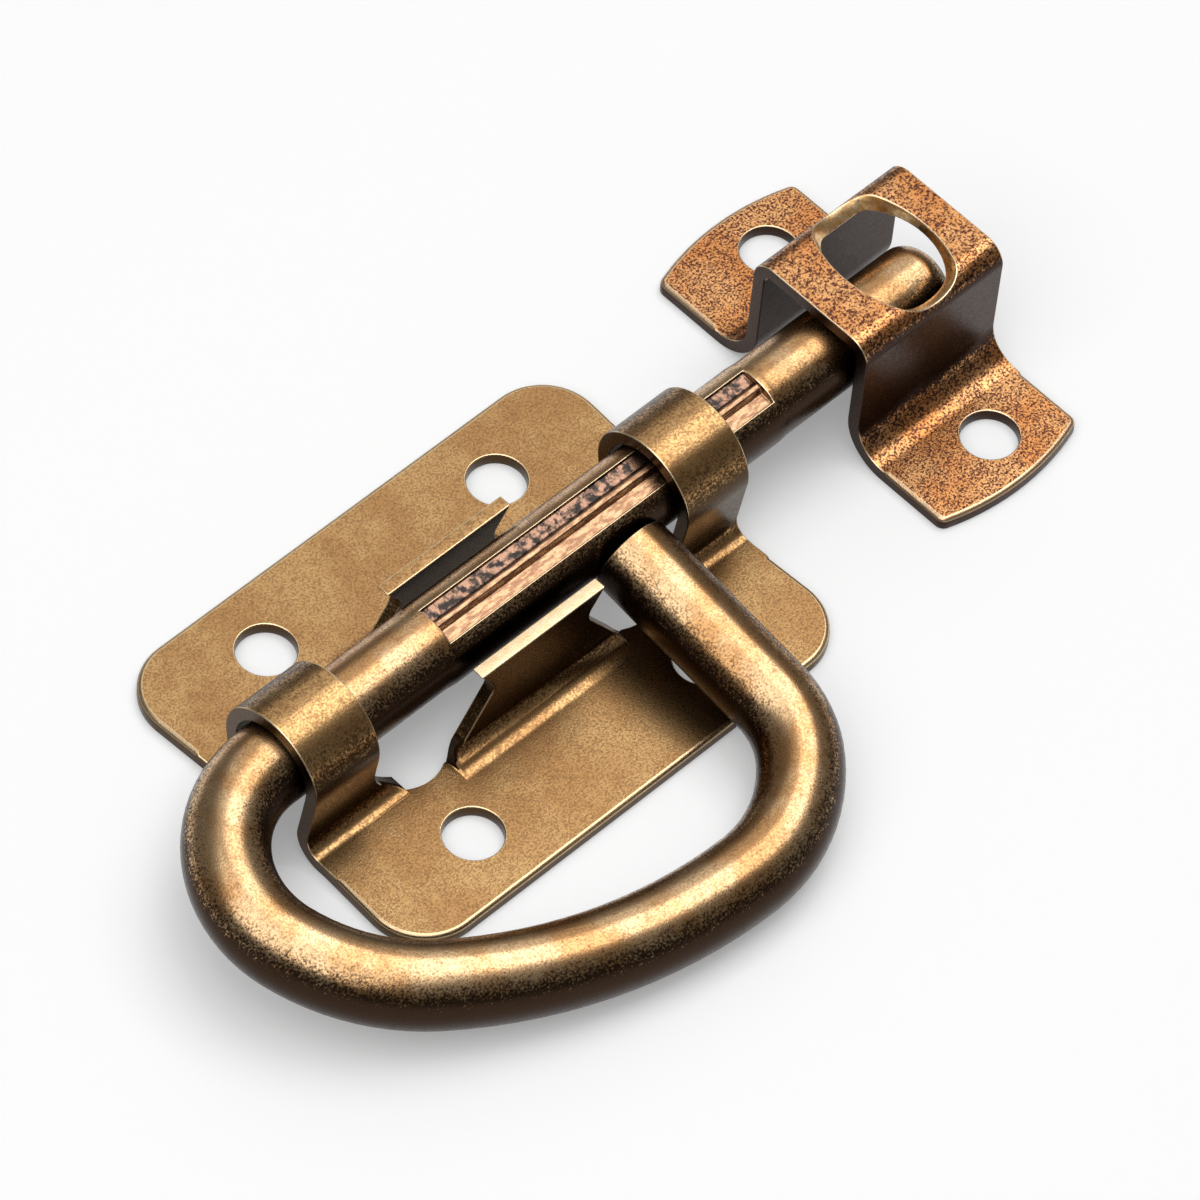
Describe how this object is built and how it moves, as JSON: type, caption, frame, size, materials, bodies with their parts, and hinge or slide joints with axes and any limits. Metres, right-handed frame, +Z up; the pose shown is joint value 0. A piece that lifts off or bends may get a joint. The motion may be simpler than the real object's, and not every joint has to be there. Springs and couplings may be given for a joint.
{
  "type": "surface barrel bolt latch",
  "caption": "Bunk latch: a bent rod bolt with a D handle turns in two loops of a pressed plate, and its end sits in a hat shaped strike.",
  "frame": {"origin": "middle of the plate's four screw holes, on the back face that lies on the board", "axes": "+X along the rod towards the strike, -Y towards the side the handle lies on, +Z up from the board"},
  "size_m": [0.0806, 0.0472, 0.0125],
  "materials": {
    "latch_plate": "antique brass plate on pressed steel, satin, finely speckled",
    "bolt": "antique brass plate on steel rod, smoother, darker speckles",
    "strike": "antique brass plate on pressed steel, coppery, satin"
  },
  "bodies": {
    "base": {"latch_plate": "latch_plate", "strike": "strike"},
    "bolt": {"bolt": "bolt"}
  },
  "joints": [
    {"name": "bolt_turn", "type": "hinge", "parent": "base", "child": "bolt", "pos_m": [0, 0, 0.0076], "axis": [-1, 0, 0], "range_deg": [0, 198.3]}
  ]
}
